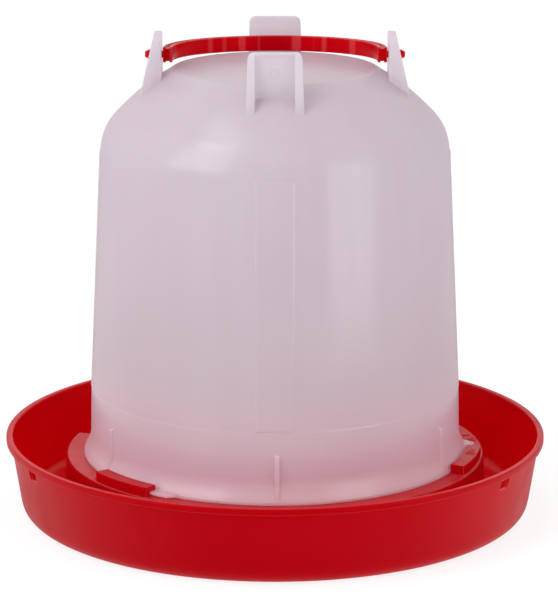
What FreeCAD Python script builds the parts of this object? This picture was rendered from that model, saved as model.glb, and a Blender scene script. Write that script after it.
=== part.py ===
"""Poultry waterer fount of about ten litres: a drinking tray, a twist-lock tank and a carrying handle.

Millimetres. Origin: centre of the tray's underside, +Z up along the tank's axis.
Azimuths are in degrees, counter-clockwise seen from above, and 0 is the -Y side (the front).
"""
import FreeCAD
import Part
import math
import os

Vector = FreeCAD.Vector
UP = Vector(0, 0, 1)
ORIGIN = Vector(0, 0, 0)
TINY = 1e-6

# ---------------------------------------------------------------- driving dimensions: tray
RIM_RADIUS = 180.0
RIM_TOP = 52.9
LIP_HEIGHT = 4.3
TRAY_WALL = 1.8
TRAY_FLOOR = 2.4
WALL_RADIUS_TOP = 176.9        # outer face of the outer wall, just under the lip
WALL_RADIUS_LOW = 170.9        # the same face just above the bottom bend
WALL_LOW_Z = 10.6
BASE_RADIUS = 168.6            # corner of the bottom bend before it is rounded
BASE_BEND = 10.0
LEDGE_TOP = 38.6
LEDGE_RADIUS = 139.6
TROUGH_INNER_RADIUS = 142.4    # foot of the trough's inner wall
BASIN_RADIUS = 122.0           # edge of the sunk centre, under the tank's mouth
BASIN_DEPTH = 16.0
BASIN_SLOPE = 5.0              # the basin's side leans in by this much
UNDERSIDE_ROUND = 1.2
LIP_ROUND = 0.7
RIM_ROUND = 1.3
RIM_INNER_ROUND = 1.2
RIM_INNER_STEP = 0.7           # the wall thins by this much at the rim's inner edge
LEDGE_ROUND = 0.8
BASIN_EDGE_ROUND = 1.0
INNER_BEND = 2.5               # foot of the trough's inner wall and of the basin's side

# bayonet hooks that stand on the ledge and hold the tank down
COUNT_HOOKS = 3
HOOK_AZIMUTH = -46.8
HOOK_HALF_SPAN = 10.3
HOOK_TOP = 45.4
HOOK_RADIUS = 138.3
HOOK_WALL = 4.0
LIP_RADIUS = 128.8             # how far in the hook's lip reaches
LIP_UNDERSIDE = 42.0
STOP_SPAN = 3.0                # closed end of each hook
HOOK_ROUND = 0.6
HOOK_INNER_ROUND = 0.5
HOOK_ROOT = 0.5                # how far a hook reaches into the ledge
STOP_INSET = 0.8               # the closed end stays this far inside the hook's faces

# slots under the rim for clip-on legs
SLOT_AZIMUTH = -63.1
SLOT_WIDTH = 11.4
SLOT_HEIGHT = 6.6
SLOT_Z = 43.1
SLOT_CORNER = 2.6
SLOT_CUT_DEPTH = 12.0
SLOT_CUT_INSET = 1.5           # the cutter's middle lies this far inside the wall's outer face

# water outlet: a gap in the ledge that lets water out of the basin
OUTLET_START = -128.0
OUTLET_END = -105.6
OUTLET_FLOOR = 24.0
OUTLET_INNER_RADIUS = 107.0    # the gap is cut from inside the basin to the middle of the trough
OUTLET_OUTER_RADIUS = 150.0
OUTLET_LAP = 1.0               # how far its lining reaches into the basin's side
OUTLET_INSET = 0.2             # and how far it stays inside the trough's inner wall
OUTLET_SINK = 0.4              # and below the ledge's top

# raised marks: closed lock on one hook, open lock beside the pointer, arrows at the hooks
MARK_HEIGHT = 0.6
MARK_ROOT = 0.2                # how far a mark reaches into the surface that it stands on
MARK_RADIUS = 133.8
CLOSED_LOCK_AZIMUTH = 77.2
OPEN_LOCK_AZIMUTH = 99.6
OPEN_ARROW_AZIMUTH = 105.0
LOCK_LENGTH = 5.6
LOCK_HALF_WIDTH = 3.3
LOCK_LINE = 1.1
SHACKLE_RADIUS = 2.7
OPEN_SHACKLE_SHIFT = 2.3
ARROW_SPAN = 2.0
ARROW_GAP = 0.7                # between an arrow's tip and the hook's closed end
ARROW_HALF_WIDTH = 2.4

# ---------------------------------------------------------------- driving dimensions: tank
TANK_WALL = 2.0
TANK_BOTTOM = 38.8
FLANGE_RADIUS = 128.0
FLANGE_EDGE_HEIGHT = 1.6
FLARE_RADIUS = 127.0           # top of the flange's chamfer, where the flare to the neck starts
FLARE_Z = 42.6
NECK_RADIUS = 123.25
NECK_Z = 54.5                  # the neck turns into the flare here, without a crease
NECK_TOP_RADIUS = 122.6
CREASE_Z = 85.0
CREASE_HALF_HEIGHT = 0.6
CREASE_STEP = 0.3              # the wall above the crease is this much slimmer than the neck
SHOULDER_Z = 244.9
SHOULDER_START_RADIUS = 114.5
SHOULDER_BEND = 34.7
SHOULDER_ANGLE = 45.3          # slope of the cone above the shoulder, from vertical
SHOULDER_STRAIGHT = 8.6
DOME_BEND = 139.9
DOME_END_ANGLE = 58.9
DISC_RADIUS = 65.3
DISC_TOP = 297.9
DISC_BEVEL_WIDTH = 1.8
DISC_BEVEL_DROP = 0.35
GATE_RADIUS = 4.0              # moulding gate, a low round pad on the top disc
GATE_HEIGHT = 0.6

# bayonet tabs: (first azimuth, last azimuth); the one beside the pointer is short
TAB_SPANS = [(-53.3, -28.6), (66.7, 81.0), (186.7, 211.4)]
TAB_RADIUS = 133.3
TAB_BOTTOM = 39.5
TAB_TOP = 41.6
TAB_RAMP = 2.8
FLANGE_LAP = 1.5               # how far the tabs and the pointer reach into the flange
POINTER_AZIMUTH = 92.4
POINTER_RADIUS = 134.2
POINTER_HALF_SPAN = 3.9
POINTER_BOTTOM = 39.4
POINTER_TOP = 41.2
POINTER_SHOULDER = 0.6         # step at the pointer's foot, and the azimuth that it takes
POINTER_SHOULDER_SPAN = 1.2

# small ribs round the neck and broad shallow bands below the feet
COUNT_NECK_RIBS = 6
NECK_RIB_WIDTH = 3.0
NECK_RIB_TOP = 70.8
NECK_RIB_BOTTOM = 41.0
NECK_RIB_PROUD = 1.3
NECK_RIB_FOOT_PROUD = 2.0
NECK_RIB_FOOT_Z = 50.0
NECK_RIB_INSET = 0.2           # the rib's foot stays this far inside the flange's edge
NECK_RIB_BEVEL = 1.0
FIRST_NECK_RIB = 0.6
BAND_HALF_WIDTH = 12.7
BAND_HALF_CREST = 11.3         # the band's face is flat across this half width
BAND_PROUD = 0.12
BAND_ROOT = 0.5                # how far the band reaches into the round wall at its edges
BAND_EDGE_SINK = 0.05          # its edges start this far below the wall's surface
BAND_TOP = 244.5

# feet that the tank stands on while it is filled upside down
COUNT_FEET = 4
FOOT_TOP = 319.8
FOOT_FACE_RADIUS = 73.9
FOOT_WEB = 3.0
FOOT_TOP_DEPTH = 5.0
FOOT_TOE_RADIUS = 87.3
FOOT_TOE_Z = 283.5
FOOT_WIDTH_TOP = 34.2
FOOT_WIDTH_BASE = 37.0
FOOT_RIB = 4.4
FOOT_CORNER = 4.2
FOOT_CAP = 1.2
FOOT_ROOT = 6.0                # how far the foot reaches below its toe, into the dome
DIMPLE_RADIUS = 3.0
DIMPLE_DEPTH = 0.5
CUT_START = 60.0               # foot outlines, channels and holes are cut from inside this radius
CUT_LENGTH = 50.0
CUT_SPARE = 1.0

# ---------------------------------------------------------------- driving dimensions: handle
PIN_Z = 306.5
PIN_RADIUS = 2.3
PIN_CLEARANCE = 0.05           # radial, in the foot's hole
HANDLE_RADIUS = 73.0
STRAP_THICKNESS = 6.2
STRAP_HEIGHT = 10.0
STRAP_ROUND = 0.7
STRAP_GROOVE_WIDTH = 2.6
STRAP_GROOVE_DEPTH = 0.9
ARM_PAST_PIN = 4.2
HEAD_START = 77.7
HEAD_RADIUS = 3.3
HEAD_END = 84.8
HEAD_TIP_RADIUS = 1.9
HEAD_ROUND = 0.5
HEAD_TAPER = 2.6               # length of the head's tapered end
HEAD_TAPER_STEP = 0.2
HEAD_TAPER_ROUND = 1.0
HEAD_TIP_ROUND = 0.8
PIN_LAP = 2.0                  # how far the pin reaches into the strap
REST_TILT = 3.1                # the folded handle hangs this far below level

# ---------------------------------------------------------------- helpers


def rounded_edges(corners):
    """Edges of a closed outline in the XZ plane; each corner is (r, z, rounding radius)."""
    count = len(corners)
    starts, ends, edges = [], [], []
    for i in range(count):
        here = Vector(corners[i][0], 0, corners[i][1])
        before = Vector(corners[i - 1][0], 0, corners[i - 1][1])
        after = Vector(corners[(i + 1) % count][0], 0, corners[(i + 1) % count][1])
        radius = corners[i][2]
        if radius == 0:
            starts.append(here)
            ends.append(here)
            continue
        to_before = (before - here).normalize()
        to_after = (after - here).normalize()
        half = to_before.getAngle(to_after) / 2
        reach = radius / math.tan(half)
        starts.append(here + to_before * reach)
        ends.append(here + to_after * reach)
        bisector = (to_before + to_after).normalize()
        middle = here + bisector * (radius / math.sin(half) - radius)
        edges.append(Part.Arc(starts[i], middle, ends[i]).toShape())
    for i in range(count):
        line_start = ends[i]
        line_end = starts[(i + 1) % count]
        if (line_end - line_start).Length > TINY:
            edges.append(Part.LineSegment(line_start, line_end).toShape())
    return edges


def face_of(edges):
    return Part.Face(Part.Wire(Part.__sortEdges__(edges)))


def at_azimuth(shape, azimuth):
    """Turn a shape drawn on the +X side to the given azimuth."""
    turned = shape.copy()
    turned.rotate(ORIGIN, UP, azimuth - 90)
    return turned


def sector(outline, first, last):
    """Sweep an outline of (r, z) or (r, z, rounding) corners from one azimuth to another."""
    corners = [(c[0], c[1], c[2] if len(c) > 2 else 0) for c in outline]
    swept = face_of(rounded_edges(corners)).revolve(ORIGIN, UP, last - first)
    return at_azimuth(swept, first)


def ring(outline):
    return sector(outline, 90, 450)


def rectangle(r_in, r_out, z_low, z_high):
    return [(r_in, z_low), (r_out, z_low), (r_out, z_high), (r_in, z_high)]


def polar(azimuth, radius, z):
    angle = math.radians(azimuth - 90)
    return Vector(radius * math.cos(angle), radius * math.sin(angle), z)


def plate(outline, z_low, z_high):
    """Flat plate between two heights; the outline's corners are (azimuth, radius)."""
    points = [polar(azimuth, radius, z_low) for azimuth, radius in outline]
    return Part.Face(Part.makePolygon(points + points[:1])).extrude(UP * (z_high - z_low))


def edges_along_x(shape):
    return [e for e in shape.Edges if abs(e.tangentAt(e.FirstParameter).x) > 1 - TINY]


def centred_box(length, width, height, centre):
    corner = centre - Vector(length / 2, width / 2, height / 2)
    return Part.makeBox(length, width, height, corner)


def fuse_all(first, others):
    return first.multiFuse(others).removeSplitter()


# ---------------------------------------------------------------- tray


def tray_shell():
    """Outer wall with its lip, drinking trough, ledge and sunk basin, of even thickness."""
    wall = TRAY_WALL
    basin_top = LEDGE_TOP - BASIN_DEPTH
    basin_foot = BASIN_RADIUS - BASIN_SLOPE
    return ring([
        (0, basin_top - wall, 0),
        (basin_foot + wall, basin_top - wall, UNDERSIDE_ROUND),
        (BASIN_RADIUS + wall, LEDGE_TOP - wall, UNDERSIDE_ROUND),
        (LEDGE_RADIUS - wall, LEDGE_TOP - wall, UNDERSIDE_ROUND),
        (TROUGH_INNER_RADIUS - wall, 0, UNDERSIDE_ROUND),
        (BASE_RADIUS, 0, BASE_BEND),
        (WALL_RADIUS_LOW, WALL_LOW_Z, 0),
        (WALL_RADIUS_TOP, RIM_TOP - LIP_HEIGHT, 0),
        (RIM_RADIUS, RIM_TOP - LIP_HEIGHT, LIP_ROUND),
        (RIM_RADIUS, RIM_TOP, RIM_ROUND),
        (WALL_RADIUS_TOP - wall + RIM_INNER_STEP, RIM_TOP, RIM_INNER_ROUND),
        (WALL_RADIUS_LOW - wall, WALL_LOW_Z, 0),
        (BASE_RADIUS - wall, TRAY_FLOOR, BASE_BEND - wall),
        (TROUGH_INNER_RADIUS, TRAY_FLOOR, INNER_BEND),
        (LEDGE_RADIUS, LEDGE_TOP, LEDGE_ROUND),
        (BASIN_RADIUS, LEDGE_TOP, BASIN_EDGE_ROUND),
        (basin_foot, basin_top, INNER_BEND),
        (0, basin_top, 0),
    ])


def outlet_channel():
    """Walls and floor that line the gap in the ledge."""
    side = math.degrees(TRAY_WALL / LEDGE_RADIUS)
    lean = (TROUGH_INNER_RADIUS - LEDGE_RADIUS) / (LEDGE_TOP - TRAY_FLOOR)
    low = OUTLET_FLOOR - TRAY_WALL
    outer_low = LEDGE_RADIUS + lean * (LEDGE_TOP - low) - OUTLET_INSET
    outline = [
        (BASIN_RADIUS - BASIN_SLOPE + OUTLET_LAP, low),
        (outer_low, low),
        (LEDGE_RADIUS - LEDGE_ROUND, LEDGE_TOP - OUTLET_SINK),
        (BASIN_RADIUS + OUTLET_LAP, LEDGE_TOP - OUTLET_SINK),
    ]
    return sector(outline, OUTLET_START - side, OUTLET_END + side)


def outlet_gap():
    outline = rectangle(OUTLET_INNER_RADIUS, OUTLET_OUTER_RADIUS, OUTLET_FLOOR, RIM_TOP)
    return sector(outline, OUTLET_START, OUTLET_END)


def hook(azimuth):
    """Wall, inward lip and closed end; the tank's tab slides in from the open end."""
    foot = LEDGE_TOP - HOOK_ROOT
    first = azimuth - HOOK_HALF_SPAN
    last = azimuth + HOOK_HALF_SPAN
    angle_section = [
        (HOOK_RADIUS, foot, 0),
        (HOOK_RADIUS, HOOK_TOP, HOOK_ROUND),
        (LIP_RADIUS, HOOK_TOP, HOOK_ROUND),
        (LIP_RADIUS, LIP_UNDERSIDE, 0),
        (HOOK_RADIUS - HOOK_WALL, LIP_UNDERSIDE, HOOK_INNER_ROUND),
        (HOOK_RADIUS - HOOK_WALL, foot, 0),
    ]
    closed_end = rectangle(LIP_RADIUS + HOOK_ROUND, HOOK_RADIUS - STOP_INSET, foot,
                           HOOK_TOP - STOP_INSET)
    return sector(angle_section, first, last).fuse(sector(closed_end, first, first + STOP_SPAN))


def leg_slot(azimuth):
    """Cutter for one rounded slot through the outer wall."""
    middle = Vector(WALL_RADIUS_TOP - SLOT_CUT_INSET, 0, SLOT_Z)
    cutter = centred_box(SLOT_CUT_DEPTH, SLOT_WIDTH, SLOT_HEIGHT, middle)
    lower = [e for e in edges_along_x(cutter) if e.CenterOfMass.z < SLOT_Z]
    return at_azimuth(cutter.makeFillet(SLOT_CORNER, lower), azimuth)


def lock_mark(azimuth, surface, shackle_shift):
    """Raised padlock outline on a surface; the shackle stands beside the body when open."""
    low = surface - MARK_ROOT
    high = surface + MARK_HEIGHT
    step = math.degrees(1 / MARK_RADIUS)
    inner = MARK_RADIUS - LOCK_HALF_WIDTH
    outer = MARK_RADIUS + LOCK_HALF_WIDTH
    body = sector(rectangle(inner, outer, low, high), azimuth - LOCK_LENGTH * step, azimuth)
    hollow = sector(rectangle(inner + LOCK_LINE, outer - LOCK_LINE, low, high),
                    azimuth - (LOCK_LENGTH - LOCK_LINE) * step, azimuth - LOCK_LINE * step)
    centre = polar(azimuth, MARK_RADIUS + shackle_shift, low)
    loop = Part.makeCylinder(SHACKLE_RADIUS, high - low, centre)
    loop = loop.cut(Part.makeCylinder(SHACKLE_RADIUS - LOCK_LINE, high - low, centre))
    return [body.cut(hollow), loop]


def arrow_mark(tip):
    """Raised arrowhead on the ledge that points towards higher azimuths, with its tip at one."""
    outline = [(tip, MARK_RADIUS), (tip - ARROW_SPAN, MARK_RADIUS + ARROW_HALF_WIDTH),
               (tip - ARROW_SPAN, MARK_RADIUS - ARROW_HALF_WIDTH)]
    return plate(outline, LEDGE_TOP - MARK_ROOT, LEDGE_TOP + MARK_HEIGHT)


def make_tray():
    tray = tray_shell().fuse(outlet_channel()).cut(outlet_gap())
    pitch = 360.0 / COUNT_HOOKS
    raised = []
    for i in range(COUNT_HOOKS):
        azimuth = HOOK_AZIMUTH + pitch * i
        raised.append(hook(azimuth))
        raised.append(arrow_mark(azimuth - HOOK_HALF_SPAN - ARROW_GAP))
    raised += lock_mark(CLOSED_LOCK_AZIMUTH, HOOK_TOP, 0)
    raised += lock_mark(OPEN_LOCK_AZIMUTH, LEDGE_TOP, OPEN_SHACKLE_SHIFT)
    raised.append(arrow_mark(OPEN_ARROW_AZIMUTH))
    slots = [leg_slot(SLOT_AZIMUTH + pitch * i) for i in range(COUNT_HOOKS)]
    return fuse_all(tray, raised).cut(Part.makeCompound(slots))


# ---------------------------------------------------------------- tank


def tank_profile(inset):
    """Tank outline from the mouth to the top disc, moved in from the outer face by the inset."""
    flange = FLANGE_RADIUS - inset
    neck_low = Vector(NECK_RADIUS - inset, 0, NECK_Z)
    neck_top = Vector(NECK_TOP_RADIUS - inset, 0, CREASE_Z - CREASE_HALF_HEIGHT)
    wall_low = Vector(NECK_TOP_RADIUS - CREASE_STEP - inset, 0, CREASE_Z + CREASE_HALF_HEIGHT)
    flare = Vector(FLARE_RADIUS - inset, 0, FLARE_Z)
    edge_top = Vector(flange, 0, TANK_BOTTOM + FLANGE_EDGE_HEIGHT)
    start = Vector(flange, 0, TANK_BOTTOM)
    edges = [Part.LineSegment(start, edge_top).toShape(), Part.LineSegment(edge_top, flare).toShape()]
    edges.append(arc_leaving(neck_low, neck_low - neck_top, flare))
    draft = math.atan2(NECK_TOP_RADIUS - CREASE_STEP - SHOULDER_START_RADIUS,
                       SHOULDER_Z - CREASE_Z)
    shoulder = Vector(SHOULDER_START_RADIUS - inset, 0, SHOULDER_Z)
    wall_points = [neck_low, neck_top, wall_low, shoulder]
    edges += [Part.LineSegment(a, b).toShape() for a, b in zip(wall_points, wall_points[1:])]
    cone_start, edge = tangent_arc(shoulder, draft, math.radians(SHOULDER_ANGLE),
                                   SHOULDER_BEND - inset)
    edges.append(edge)
    slope = math.radians(SHOULDER_ANGLE)
    cone_end = cone_start + Vector(-math.sin(slope), 0, math.cos(slope)) * SHOULDER_STRAIGHT
    edges.append(Part.LineSegment(cone_start, cone_end).toShape())
    dome_end, edge = tangent_arc(cone_end, slope, math.radians(DOME_END_ANGLE), DOME_BEND - inset)
    edges.append(edge)
    disc_top = DISC_TOP - inset
    disc_edge = Vector(DISC_RADIUS, 0, disc_top)
    shallow = Vector(DISC_RADIUS + DISC_BEVEL_WIDTH, 0, disc_top - DISC_BEVEL_DROP)
    edges.append(Part.LineSegment(dome_end, shallow).toShape())
    edges.append(Part.LineSegment(shallow, disc_edge).toShape())
    centre = Vector(0, 0, disc_top)
    edges.append(Part.LineSegment(disc_edge, centre).toShape())
    mouth = Vector(0, 0, TANK_BOTTOM)
    edges.append(Part.LineSegment(centre, mouth).toShape())
    edges.append(Part.LineSegment(mouth, start).toShape())
    return edges


def tangent_arc(start, first_angle, last_angle, radius):
    """Arc that leans inwards from one slope to another, both measured from vertical."""
    centre = start - Vector(math.cos(first_angle), 0, math.sin(first_angle)) * radius

    def on_arc(angle):
        return centre + Vector(math.cos(angle), 0, math.sin(angle)) * radius

    end = on_arc(last_angle)
    middle = on_arc((first_angle + last_angle) / 2)
    return end, Part.Arc(start, middle, end).toShape()


def arc_leaving(start, direction, end):
    """Arc that leaves a straight line smoothly at its start and runs to an end point."""
    sideways = direction.cross(Vector(0, 1, 0)).normalize()
    chord = end - start
    centre = start + sideways * (chord.dot(chord) / (2 * chord.dot(sideways)))
    radius = (start - centre).Length
    middle = centre + (start + end - centre * 2).normalize() * radius
    return Part.Arc(end, middle, start).toShape()


def solid_of(edges):
    return face_of(edges).revolve(ORIGIN, UP, 360)


def bayonet_tab(first, last):
    root = FLANGE_RADIUS - FLANGE_LAP
    body = sector(rectangle(root, TAB_RADIUS, TAB_BOTTOM, TAB_TOP), first, last - TAB_RAMP)
    ramp = plate([(last - TAB_RAMP, root), (last - TAB_RAMP, TAB_RADIUS), (last, FLANGE_RADIUS),
                  (last, root)], TAB_BOTTOM, TAB_TOP)
    return body.fuse(ramp)


def pointer():
    root = FLANGE_RADIUS - FLANGE_LAP
    shoulder = FLANGE_RADIUS + POINTER_SHOULDER
    left = POINTER_AZIMUTH - POINTER_HALF_SPAN
    right = POINTER_AZIMUTH + POINTER_HALF_SPAN
    outline = [(left, root), (left + POINTER_SHOULDER_SPAN, shoulder), (POINTER_AZIMUTH, POINTER_RADIUS),
               (right - POINTER_SHOULDER_SPAN, shoulder), (right, root)]
    return plate(outline, POINTER_BOTTOM, POINTER_TOP)


def neck_rib(azimuth):
    """Slim upright rib from the flange up the neck."""
    root = NECK_TOP_RADIUS - TANK_WALL / 2
    outline = [
        (root, NECK_RIB_BOTTOM),
        (FLANGE_RADIUS - NECK_RIB_INSET, NECK_RIB_BOTTOM),
        (NECK_RADIUS + NECK_RIB_FOOT_PROUD, NECK_RIB_FOOT_Z),
        (NECK_RADIUS + NECK_RIB_PROUD, NECK_RIB_TOP - NECK_RIB_BEVEL),
        (root, NECK_RIB_TOP),
    ]
    points = [Vector(r, -NECK_RIB_WIDTH / 2, z) for r, z in outline]
    face = Part.Face(Part.makePolygon(points + points[:1]))
    return at_azimuth(face.extrude(Vector(0, NECK_RIB_WIDTH, 0)), azimuth)


def band_section(z, radius):
    """Section of a band: a flat face, bevelled down to the round wall at both edges."""
    edge = math.sqrt(radius ** 2 - BAND_HALF_WIDTH ** 2) - BAND_EDGE_SINK
    back = edge - BAND_ROOT
    crest = radius + BAND_PROUD
    return Part.makePolygon([
        Vector(back, -BAND_HALF_WIDTH, z),
        Vector(edge, -BAND_HALF_WIDTH, z),
        Vector(crest, -BAND_HALF_CREST, z),
        Vector(crest, BAND_HALF_CREST, z),
        Vector(edge, BAND_HALF_WIDTH, z),
        Vector(back, BAND_HALF_WIDTH, z),
        Vector(back, -BAND_HALF_WIDTH, z),
    ])


def wall_band(azimuth):
    """Broad flat band that follows the wall's draft from the crease to below the shoulder."""
    low_radius = NECK_TOP_RADIUS - CREASE_STEP
    slope = (low_radius - SHOULDER_START_RADIUS) / (SHOULDER_Z - CREASE_Z)
    bottom = CREASE_Z + CREASE_HALF_HEIGHT
    low = band_section(bottom, low_radius)
    high = band_section(BAND_TOP, low_radius - slope * (BAND_TOP - bottom))
    return at_azimuth(Part.makeLoft([low, high], True, True), azimuth)


def foot(azimuth, pierced):
    """Upright web with two side ribs and a cap; the channel between the ribs faces outwards."""
    outer_top = FOOT_FACE_RADIUS + FOOT_TOP_DEPTH
    root_z = FOOT_TOE_Z - FOOT_ROOT
    lean = (FOOT_TOE_RADIUS - outer_top) / (FOOT_TOP - FOOT_TOE_Z)
    root_radius = FOOT_TOE_RADIUS + lean * (FOOT_TOE_Z - root_z)
    side = [(FOOT_FACE_RADIUS, root_z), (FOOT_FACE_RADIUS, FOOT_TOP), (outer_top, FOOT_TOP),
            (root_radius, root_z)]
    points = [Vector(r, -FOOT_WIDTH_BASE, z) for r, z in side]
    wedge = Part.Face(Part.makePolygon(points + points[:1])).extrude(Vector(0, 2 * FOOT_WIDTH_BASE, 0))
    half_top = FOOT_WIDTH_TOP / 2
    half_base = FOOT_WIDTH_BASE / 2
    front = [Vector(CUT_START, -half_base, root_z), Vector(CUT_START, -half_top, FOOT_TOP),
             Vector(CUT_START, half_top, FOOT_TOP), Vector(CUT_START, half_base, root_z)]
    outline = Part.Face(Part.makePolygon(front + front[:1])).extrude(Vector(CUT_LENGTH, 0, 0))
    top_corners = [e for e in edges_along_x(outline) if e.CenterOfMass.z > FOOT_TOP - CUT_SPARE]
    block = wedge.common(outline.makeFillet(FOOT_CORNER, top_corners))
    channel_width = FOOT_WIDTH_TOP - 2 * FOOT_RIB
    channel_top = FOOT_TOP - FOOT_CAP
    channel_low = root_z - CUT_SPARE
    channel = Part.makeBox(CUT_LENGTH, channel_width, channel_top - channel_low,
                           Vector(FOOT_FACE_RADIUS + FOOT_WEB, -channel_width / 2, channel_low))
    block = block.cut(channel)
    if pierced:
        hole = Part.makeCylinder(PIN_RADIUS + PIN_CLEARANCE, CUT_LENGTH,
                                 Vector(CUT_START, 0, PIN_Z), Vector(1, 0, 0))
        block = block.cut(hole)
    else:
        face = FOOT_FACE_RADIUS + FOOT_WEB - DIMPLE_DEPTH
        dimple = Part.makeCylinder(DIMPLE_RADIUS, CUT_LENGTH, Vector(face, 0, PIN_Z), Vector(1, 0, 0))
        block = block.cut(dimple)
    return at_azimuth(block, azimuth)


def make_tank():
    outer = solid_of(tank_profile(0))
    inner = solid_of(tank_profile(TANK_WALL))
    extras = [bayonet_tab(first, last) for first, last in TAB_SPANS]
    extras.append(pointer())
    for i in range(COUNT_NECK_RIBS):
        extras.append(neck_rib(FIRST_NECK_RIB + i * 360.0 / COUNT_NECK_RIBS))
    for i in range(COUNT_FEET):
        azimuth = i * 360.0 / COUNT_FEET
        extras.append(foot(azimuth, pierced=azimuth % 180 == 90))
        extras.append(wall_band(azimuth))
    gate_root = Vector(0, 0, DISC_TOP - TANK_WALL / 2)
    extras.append(Part.makeCylinder(GATE_RADIUS, GATE_HEIGHT + TANK_WALL / 2, gate_root))
    return fuse_all(outer, extras).cut(inner)


# ---------------------------------------------------------------- handle


def strap_section():
    """Closed section in the XZ plane, centred on the strap's mean radius, with edge grooves."""
    mean = HANDLE_RADIUS - STRAP_THICKNESS / 2
    half = STRAP_THICKNESS / 2
    groove = STRAP_GROOVE_WIDTH / 2
    top = STRAP_HEIGHT / 2
    floor = top - STRAP_GROOVE_DEPTH
    rounding = STRAP_ROUND
    return [
        (mean - half, -top, rounding), (mean - groove, -top, 0), (mean - groove, -floor, 0),
        (mean + groove, -floor, 0), (mean + groove, -top, 0), (mean + half, -top, rounding),
        (mean + half, top, rounding), (mean + groove, top, 0), (mean + groove, floor, 0),
        (mean - groove, floor, 0), (mean - groove, top, 0), (mean - half, top, rounding),
    ]


def pivot_pin():
    """Neck through the foot's hole and a snap head outside it, along +X."""
    outline = [
        (HANDLE_RADIUS - PIN_LAP, 0, 0),
        (HANDLE_RADIUS - PIN_LAP, PIN_RADIUS, 0),
        (HEAD_START, PIN_RADIUS, 0),
        (HEAD_START, HEAD_RADIUS, HEAD_ROUND),
        (HEAD_END - HEAD_TAPER, HEAD_RADIUS - HEAD_TAPER_STEP, HEAD_TAPER_ROUND),
        (HEAD_END, HEAD_TIP_RADIUS, HEAD_TIP_ROUND),
        (HEAD_END, 0, 0),
    ]
    return face_of(rounded_edges(outline)).revolve(ORIGIN, Vector(1, 0, 0), 360)


def make_handle():
    """Half ring folded back over the tank, hinged on two pins along X."""
    section = face_of(rounded_edges(strap_section()))
    half_ring = section.revolve(ORIGIN, UP, 180)
    pieces = []
    for side in (1, -1):
        arm = section.extrude(Vector(0, -ARM_PAST_PIN, 0))
        pin = pivot_pin()
        if side < 0:
            arm = arm.mirror(ORIGIN, Vector(1, 0, 0))
            pin = pin.mirror(ORIGIN, Vector(1, 0, 0))
        pieces += [arm, pin]
    handle = fuse_all(half_ring, pieces)
    handle.translate(Vector(0, 0, PIN_Z))
    handle.rotate(Vector(0, 0, PIN_Z), Vector(1, 0, 0), -REST_TILT)
    return handle


# ---------------------------------------------------------------- output

os.makedirs("parts", exist_ok=True)
NODES = {"drinking_tray": make_tray(), "water_tank": make_tank(), "carrying_handle": make_handle()}
for name, shape in NODES.items():
    print(name, "solids", len(shape.Solids), "valid", shape.isValid(), "volume", round(shape.Volume))
    shape.exportStep("parts/" + name + ".step")
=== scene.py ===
"""Looks of the poultry waterer fount: materials, soft studio light, white floor and camera."""
import math

import bpy
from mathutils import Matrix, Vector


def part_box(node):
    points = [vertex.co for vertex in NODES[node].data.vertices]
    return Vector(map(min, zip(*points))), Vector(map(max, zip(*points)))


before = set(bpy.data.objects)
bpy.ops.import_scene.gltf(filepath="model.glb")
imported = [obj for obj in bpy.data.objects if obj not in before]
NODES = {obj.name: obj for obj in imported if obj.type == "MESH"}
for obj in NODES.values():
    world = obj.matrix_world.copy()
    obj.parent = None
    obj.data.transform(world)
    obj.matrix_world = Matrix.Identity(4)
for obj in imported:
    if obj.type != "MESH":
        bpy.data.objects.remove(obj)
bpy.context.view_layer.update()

# heights of the tray's features, in metres
LIP_HEIGHT = 0.0043
LIP_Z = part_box("drinking_tray")[1][2] - LIP_HEIGHT
# scuffs and painted top light: level faces above this height get a pale red
SCUFFED_LIT_DEPTH = 0.0018
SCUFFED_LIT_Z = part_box("water_tank")[0][2] - SCUFFED_LIT_DEPTH      # scuffs and painted top light start just under the ledge's top

# camera, in metres from the tray's underside
CAMERA_PLACE = (0.0, -1.9568, 0.6237)
CAMERA_PITCH = math.radians(13.847)
CAMERA_LENS_MM = 181.79
SENSOR_MM = 36.0
CAMERA_SHIFT_X = 4.0 / 600.0
CAMERA_REACH = 50.0

# studio
WORLD_STRENGTH = 0.83
WORLD_RISE = 0.14               # brighter overhead
WORLD_BACK = 0.25               # and behind the tank
FLOOR_SIZE = 60.0
FLOOR_ALBEDO = 0.22
FLOOR_GLOW = 0.80
# name, azimuth in degrees, distance from the axis, height, height it looks at, size, radiance
SOFTBOXES = (
    ("softbox_left", -50, 0.95, 1.05, 1.05, (0.70, 1.40), 2.8),
    ("softbox_over", -62, 0.80, 1.65, 0.25, (0.60, 0.60), 2.6),
    ("softbox_right", 45, 0.54, 0.26, 0.26, (0.28, 0.38), 1.95),
)

# colours, linear
WHITE = (1.0, 1.0, 1.0)
RED = (0.46, 0.0006, 0.011)
RED_DEEP = (0.42, 0.0003, 0.009)
# pale red of the scuffs, of the painted top light and of the painted sheen bands
RED_PALE_SCUFF_AND_SHEEN = (0.62, 0.09, 0.10)
RED_THICK = (0.33, 0.0003, 0.008)
# pale edge colour: edge wear and painted edge highlight
RED_WORN_LIT_EDGE = (0.92, 0.26, 0.28)
RED_THROUGH = (0.97, 0.0, 0.0)
RED_SPECULAR_TINT = (1.0, 0.02, 0.03)
RED_SHARE_THROUGH = 0.5
MILK = (0.70, 0.67, 0.70)
MILK_WARM = (0.67, 0.63, 0.66)
# painted highlight along the tank's edges
MILK_EDGE_HIGHLIGHT = (0.96, 0.90, 0.93)
MILK_EDGE_HIGHLIGHT_SHARE = 0.9
MILK_THROUGH = (0.89, 0.825, 0.88)
MILK_SHARE_THROUGH = 0.60
MILK_SHARE_CHANGE = 0.03
# painted red bounce light: where the tank stands in the tray, it takes on a pink tone from the red tray
MILK_RED_BOUNCE = (0.82, 0.70, 0.75)
MILK_RED_BOUNCE_THROUGH = (1.0, 0.87, 0.93)
MILK_RED_BOUNCE_Z = (0.045, 0.115)     # fully pink at the lower height, not at all at the upper one

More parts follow.
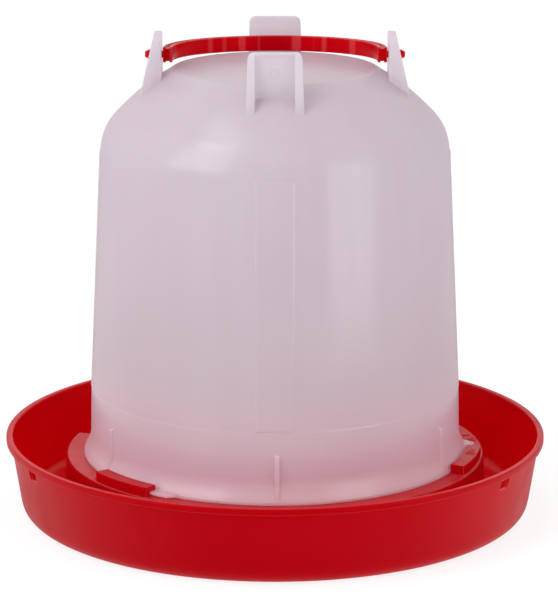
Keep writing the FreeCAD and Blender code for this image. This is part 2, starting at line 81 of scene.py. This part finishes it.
# surface detail of the plastics, in metres
EDGE_ROUNDING = 0.0008
EDGE_SAMPLES = 4
EDGE_TURN = (0.80, 0.985)       # cosine between rounded and flat normal: full painted edge highlight and wear, none
GRAIN_DEPTH = 0.0003
WAVE_DEPTH = 0.002
LIP_BLUR = 0.0004
SCUFF_LIT_BLUR = 0.001
SCUFF_LIT_TILT = (0.85, 0.98)       # upward part of the normal: no scuffs and painted top light, full ones
INSIDE_TURN = (0.02, 0.10)      # how far a face looks at the axis: outside gloss, inside gloss

# noises: scale per metre, detail, roughness, and stretch along x, y and z
RED_CLOUD = (9.0, 3.0)
# scuffs and painted top light on level faces
RED_SCUFFS_LIT = (70.0, 5.0, 0.6)
# painted sheen: pale bands standing in for lamp reflections on the handle
RED_SHEEN_BANDS = (110.0, 1.0, 0.5, (1, 0, 0))
# breaks up the edge wear and painted edge highlight
RED_EDGE_WEAR_HIGHLIGHT = (60.0, 4.0)
RED_SMUDGE = (28.0, 4.0, 0.6)
RED_GRAIN = (900.0, 2.0)
RED_WAVE = (22.0, 1.0)
MILK_CLOUD = (5.0, 5.0, 0.6)
MILK_STREAK = (70.0, 3.0, 0.6, (1, 1, 0.05))
MILK_SMUDGE = (16.0, 6.0, 0.65)
MILK_SCRATCH = (120.0, 2.0, 0.5, (1, 1, 0.04))
MILK_GRAIN = (700.0, 2.0)
MILK_WAVE = (14.0, 1.0, 0.5, (1, 1, 0.35))
MILK_THICKNESS = (9.0, 3.0, 0.5, (1, 1, 0.5))

# how those noises are used: FROM is the part of the range, and SPAN also has what its ends become
RED_CLOUD_SPAN = (0.35, 0.65, 0, 1)
RED_SCUFFS_LIT_SPAN = (0.3, 0.7, 0.35, 0.65)
RED_SHEEN_BANDS_FROM = (0.52, 0.60)
RED_EDGE_WEAR_HIGHLIGHT_SPAN = (0.35, 0.6, 0.45, 1.0)
RED_SMUDGE_FROM = (0.3, 0.7)
RED_SMUDGE_CHANGE = (-0.05, 0.09)       # of the roughness, at the two ends
MILK_TONE_SPAN = (0.38, 0.62, 0, 1)
MILK_SMUDGE_SPAN = (0.25, 0.75, 0.17, 0.24)
MILK_SCRATCH_SPAN = (0.60, 0.72, 0, 0.025)
MILK_THICKNESS_FROM = (0.35, 0.65)

# strength of the bumps
RED_GRAIN_STRENGTH = 0.12
RED_WAVE_STRENGTH = 0.25
MILK_GRAIN_STRENGTH = 0.10
MILK_WAVE_STRENGTH = 0.12


class Nodes:
    """A short way to write a node tree."""

    def __init__(self, name):
        self.material = bpy.data.materials.new(name)
        self.material.use_nodes = True
        self.tree = self.material.node_tree
        self.bsdf = self.tree.nodes["Principled BSDF"]
        self.out = self.tree.nodes["Material Output"]

    def add(self, kind, settings=None, **inputs):
        node = self.tree.nodes.new(kind)
        for key, value in (settings or {}).items():
            setattr(node, key, value)
        for key, value in inputs.items():
            self.put(node.inputs[key], value)
        return node

    def put(self, socket, value):
        if isinstance(value, bpy.types.NodeSocket):
            self.tree.links.new(value, socket)
        else:
            socket.default_value = value

    def surface(self, name, value):
        """Set one input of the principled shader."""
        self.put(self.bsdf.inputs[name], value)

    def math(self, operation, a, b):
        node = self.add("ShaderNodeMath", {"operation": operation})
        self.put(node.inputs[0], a)
        self.put(node.inputs[1], b)
        return node.outputs[0]

    def span(self, value, low, high, to_low, to_high):
        node = self.add("ShaderNodeMapRange", {"clamp": True})
        for socket, v in zip(node.inputs, (value, low, high, to_low, to_high)):
            self.put(socket, v)
        return node.outputs[0]

    def mix(self, factor, a, b):
        """Colour between a and b; sockets 6, 7 and 2 are this node's colour ones."""
        node = self.add("ShaderNodeMix", {"data_type": "RGBA"})
        self.put(node.inputs[0], factor)
        self.put(node.inputs[6], a)
        self.put(node.inputs[7], b)
        return node.outputs[2]

    def dot(self, a, b):
        node = self.add("ShaderNodeVectorMath", {"operation": "DOT_PRODUCT"})
        self.put(node.inputs[0], a)
        self.put(node.inputs[1], b)
        return node.outputs["Value"]

    def place(self, scale=(1, 1, 1)):
        coordinate = self.add("ShaderNodeTexCoord")
        mapping = self.add("ShaderNodeMapping", Vector=coordinate.outputs["Object"], Scale=scale)
        return mapping.outputs[0]

    def noise(self, scale, detail, roughness=0.5, stretch=(1, 1, 1)):
        node = self.add("ShaderNodeTexNoise", Vector=self.place(stretch))
        self.put(node.inputs["Scale"], scale)
        self.put(node.inputs["Detail"], detail)
        self.put(node.inputs["Roughness"], roughness)
        return node.outputs[0]

    def normal(self):
        return self.add("ShaderNodeNewGeometry").outputs["Normal"]

    def height_of(self, vector):
        axes = self.add("ShaderNodeSeparateXYZ")
        self.put(axes.inputs[0], vector)
        return axes.outputs["Z"]

    def bump(self, strength, depth, noise, normal):
        height = self.noise(*noise)
        node = self.add("ShaderNodeBump", Strength=strength, Distance=depth, Height=height, Normal=normal)
        return node.outputs[0]

    def round_edges(self):
        """Normal of the face with its edges rounded, and how near an edge a point is."""
        bevel = self.add("ShaderNodeBevel", {"samples": EDGE_SAMPLES}, Radius=EDGE_ROUNDING)
        rounded = bevel.outputs[0]
        return rounded, self.span(self.dot(rounded, self.normal()), *EDGE_TURN, 1, 0)

    def facing_axis(self):
        """How far a face looks towards the upright axis."""
        place = self.add("ShaderNodeNewGeometry")
        flat = self.add("ShaderNodeVectorMath", {"operation": "MULTIPLY"})
        self.put(flat.inputs[0], place.outputs["Position"])
        self.put(flat.inputs[1], (-1, -1, 0))
        inwards = self.add("ShaderNodeVectorMath", {"operation": "NORMALIZE"})
        self.put(inwards.inputs[0], flat.outputs[0])
        return self.dot(inwards.outputs[0], place.outputs["Normal"])

    def let_light_through(self, rgb, share):
        """Mix in light that passes through the thin wall."""
        through = self.add("ShaderNodeBsdfTranslucent", Color=rgb)
        both = self.add("ShaderNodeMixShader")
        self.put(both.inputs[0], share)
        self.put(both.inputs[1], self.bsdf.outputs[0])
        self.put(both.inputs[2], through.outputs[0])
        self.put(self.out.inputs["Surface"], both.outputs[0])


def colour(rgb):
    return (*rgb, 1.0)


def shaded(rgb, shade):
    return colour([v * shade for v in rgb])


def deeper_above(n, base, lip_z):
    """The thick lip above this height is a deeper red."""
    above = n.span(n.height_of(n.place()), lip_z - LIP_BLUR, lip_z + LIP_BLUR, 0, 1)
    return n.mix(above, base, colour(RED_THICK))


def scuffed_and_lit_above(n, base, scuffed_lit_z):
    """Level faces above this height are scuffed pale and painted lighter: scuffs and painted top light.
    """
    level = n.span(n.height_of(n.normal()), *SCUFF_LIT_TILT, 0, 1)
    above = n.span(n.height_of(n.place()), scuffed_lit_z, scuffed_lit_z + SCUFF_LIT_BLUR, 0, 1)
    scuff_and_light = n.span(n.noise(*RED_SCUFFS_LIT), *RED_SCUFFS_LIT_SPAN)
    return n.mix(n.math("MULTIPLY", n.math("MULTIPLY", level, above), scuff_and_light), base, colour(RED_PALE_SCUFF_AND_SHEEN))


def painted_sheen_bands(n, base, sheen_bands):
    """Painted sheen: pale stripes across the x axis, standing in for reflections of the lamps."""
    return n.mix(n.span(n.noise(*RED_SHEEN_BANDS), *RED_SHEEN_BANDS_FROM, 0, sheen_bands), base, colour(RED_PALE_SCUFF_AND_SHEEN))


def red_plastic(name, roughness, shade, gloss_inside=0.0, sheen_bands=0.0, lip_z=None, scuffed_lit_z=None):
    n = Nodes(name)
    cloud = n.span(n.noise(*RED_CLOUD), *RED_CLOUD_SPAN)
    base = n.mix(cloud, shaded(RED_DEEP, shade), shaded(RED, shade))
    if lip_z:
        base = deeper_above(n, base, lip_z)
    # scuffs and painted top light on level faces
    if scuffed_lit_z:
        base = scuffed_and_lit_above(n, base, scuffed_lit_z)
    # painted sheen bands on the handle
    if sheen_bands:
        base = painted_sheen_bands(n, base, sheen_bands)
    rounded, edge = n.round_edges()
    # edge wear and painted edge highlight
    worn_and_lit = n.math("MULTIPLY", edge, n.span(n.noise(*RED_EDGE_WEAR_HIGHLIGHT), *RED_EDGE_WEAR_HIGHLIGHT_SPAN))
    n.surface("Base Color", n.mix(worn_and_lit, base, colour(RED_WORN_LIT_EDGE)))
    least, most = (roughness + change for change in RED_SMUDGE_CHANGE)
    rough = n.span(n.noise(*RED_SMUDGE), *RED_SMUDGE_FROM, least, most)
    if gloss_inside:
        rough = n.math("SUBTRACT", rough, n.span(n.facing_axis(), *INSIDE_TURN, 0, gloss_inside))
    n.surface("Roughness", rough)
    n.surface("Specular Tint", colour(RED_SPECULAR_TINT))
    n.surface("Specular IOR Level", 1.0)
    grain = n.bump(RED_GRAIN_STRENGTH, GRAIN_DEPTH, RED_GRAIN, rounded)
    n.surface("Normal", n.bump(RED_WAVE_STRENGTH, WAVE_DEPTH, RED_WAVE, grain))
    n.let_light_through(colour(RED_THROUGH), RED_SHARE_THROUGH)
    return n.material


def natural_plastic(name):
    n = Nodes(name)
    half_cloud = n.math("MULTIPLY", n.noise(*MILK_CLOUD), 0.5)
    half_streak = n.math("MULTIPLY", n.noise(*MILK_STREAK), 0.5)
    tone = n.span(n.math("ADD", half_cloud, half_streak), *MILK_TONE_SPAN)
    # painted red bounce light from the tray, low on the tank, in both the base and the through colour
    low = n.span(n.height_of(n.place()), *MILK_RED_BOUNCE_Z, 1, 0)
    base = n.mix(low, n.mix(tone, colour(MILK_WARM), colour(MILK)), colour(MILK_RED_BOUNCE))
    rounded, edge = n.round_edges()
    # painted edge highlight
    n.surface("Base Color", n.mix(n.math("MULTIPLY", edge, MILK_EDGE_HIGHLIGHT_SHARE), base, colour(MILK_EDGE_HIGHLIGHT)))
    smudge = n.span(n.noise(*MILK_SMUDGE), *MILK_SMUDGE_SPAN)
    scratch = n.span(n.noise(*MILK_SCRATCH), *MILK_SCRATCH_SPAN)
    n.surface("Roughness", n.math("ADD", smudge, scratch))
    n.surface("Specular IOR Level", 1.0)
    grain = n.bump(MILK_GRAIN_STRENGTH, GRAIN_DEPTH, MILK_GRAIN, rounded)
    n.surface("Normal", n.bump(MILK_WAVE_STRENGTH, WAVE_DEPTH, MILK_WAVE, grain))
    least = MILK_SHARE_THROUGH - MILK_SHARE_CHANGE
    most = MILK_SHARE_THROUGH + MILK_SHARE_CHANGE
    share = n.span(n.noise(*MILK_THICKNESS), *MILK_THICKNESS_FROM, least, most)
    n.let_light_through(n.mix(low, colour(MILK_THROUGH), colour(MILK_RED_BOUNCE_THROUGH)), share)
    return n.material


def dress(node, material):
    for slot in NODES[node].material_slots:
        slot.material = material


def white_floor():
    bpy.ops.mesh.primitive_plane_add(size=FLOOR_SIZE, location=(0, 0, 0))
    floor = bpy.context.object
    floor.name = "floor"
    n = Nodes("floor_white")
    n.surface("Base Color", colour((FLOOR_ALBEDO,) * 3))
    n.surface("Roughness", 1.0)
    n.surface("Specular IOR Level", 0.0)
    n.surface("Emission Color", colour(WHITE))
    n.surface("Emission Strength", FLOOR_GLOW)
    floor.data.materials.append(n.material)


def white_world():
    """White all round, brighter overhead and behind the object."""
    world = bpy.data.worlds.new("world")
    bpy.context.scene.world = world
    world.use_nodes = True
    tree = world.node_tree
    background = tree.nodes["Background"]
    background.inputs["Color"].default_value = colour(WHITE)
    direction = tree.nodes.new("ShaderNodeTexCoord")
    lean = tree.nodes.new("ShaderNodeVectorMath")
    lean.operation = "DOT_PRODUCT"
    lean.inputs[1].default_value = (0, WORLD_BACK, WORLD_RISE)
    tree.links.new(direction.outputs["Generated"], lean.inputs[0])
    level = tree.nodes.new("ShaderNodeMath")
    level.operation = "ADD"
    level.inputs[1].default_value = WORLD_STRENGTH
    tree.links.new(lean.outputs["Value"], level.inputs[0])
    tree.links.new(level.outputs[0], background.inputs["Strength"])


def softbox(name, azimuth, distance, height, aim_height, size, radiance):
    """A soft panel that looks at the axis; azimuth 0 is in front and positive is to the right."""
    turn = math.radians(azimuth)
    data = bpy.data.lights.new(name, "AREA")
    data.shape = "RECTANGLE"
    data.size, data.size_y = size
    data.energy = radiance * math.pi * size[0] * size[1]
    light = bpy.data.objects.new(name, data)
    light.location = (distance * math.sin(turn), -distance * math.cos(turn), height)
    light.rotation_euler = (math.atan2(distance, height - aim_height), 0, turn)
    light.visible_camera = False
    bpy.context.scene.collection.objects.link(light)


def make_camera():
    data = bpy.data.cameras.new("camera")
    data.lens = CAMERA_LENS_MM
    data.sensor_width = SENSOR_MM
    data.shift_x = CAMERA_SHIFT_X
    data.clip_end = CAMERA_REACH
    camera = bpy.data.objects.new("camera", data)
    camera.location = CAMERA_PLACE
    camera.rotation_euler = (math.radians(90) - CAMERA_PITCH, 0, 0)
    bpy.context.scene.collection.objects.link(camera)
    bpy.context.scene.camera = camera


tray_red = red_plastic("tray_red", roughness=0.33, shade=0.95, gloss_inside=0.16, lip_z=LIP_Z,
                       scuffed_lit_z=SCUFFED_LIT_Z)
dress("drinking_tray", tray_red)
dress("carrying_handle", red_plastic("handle_red", roughness=0.17, shade=0.98, sheen_bands=0.7))
dress("water_tank", natural_plastic("tank_milk"))
white_floor()
white_world()
for panel in SOFTBOXES:
    softbox(*panel)
make_camera()
bpy.context.scene.view_settings.view_transform = "Standard"
